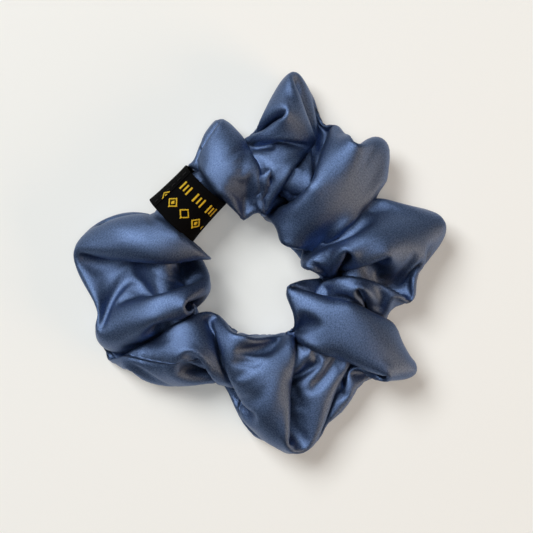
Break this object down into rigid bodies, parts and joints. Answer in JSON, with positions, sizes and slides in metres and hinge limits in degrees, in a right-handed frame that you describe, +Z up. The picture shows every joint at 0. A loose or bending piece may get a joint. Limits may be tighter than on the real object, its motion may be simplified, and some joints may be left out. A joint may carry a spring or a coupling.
{
  "type": "scrunchie",
  "caption": "Gathered satin hair scrunchie: a fabric tube shirred over a flat elastic loop, closed under a wrapped woven label",
  "frame": {"origin": "bottom centre of the whole scrunchie, on the table that it lies on", "axes": "+Z up through the hair opening, +Y along the longer side of the outline, +X to the right with the label at the upper left"},
  "size_m": [0.1062, 0.1152, 0.025],
  "materials": {
    "satin": "dusty blue satin weave with a bright sheen",
    "satin_thread": "blue polyester sewing thread",
    "elastic": "white braided polyester over rubber",
    "rubber_strand": "natural latex",
    "label": "black damask-woven polyester",
    "label_thread": "black polyester sewing thread",
    "gold_yarn": "gold woven yarn"
  },
  "bodies": {
    "root": {"satin_cover": "satin", "long_seam_stitches": "satin_thread", "closing_stitches": "satin_thread", "elastic_braid": "elastic", "rubber_strands": "rubber_strand", "elastic_stitches": "satin_thread", "label_band": "label", "label_stitches": "label_thread", "label_motif": "gold_yarn"}
  },
  "joints": []
}
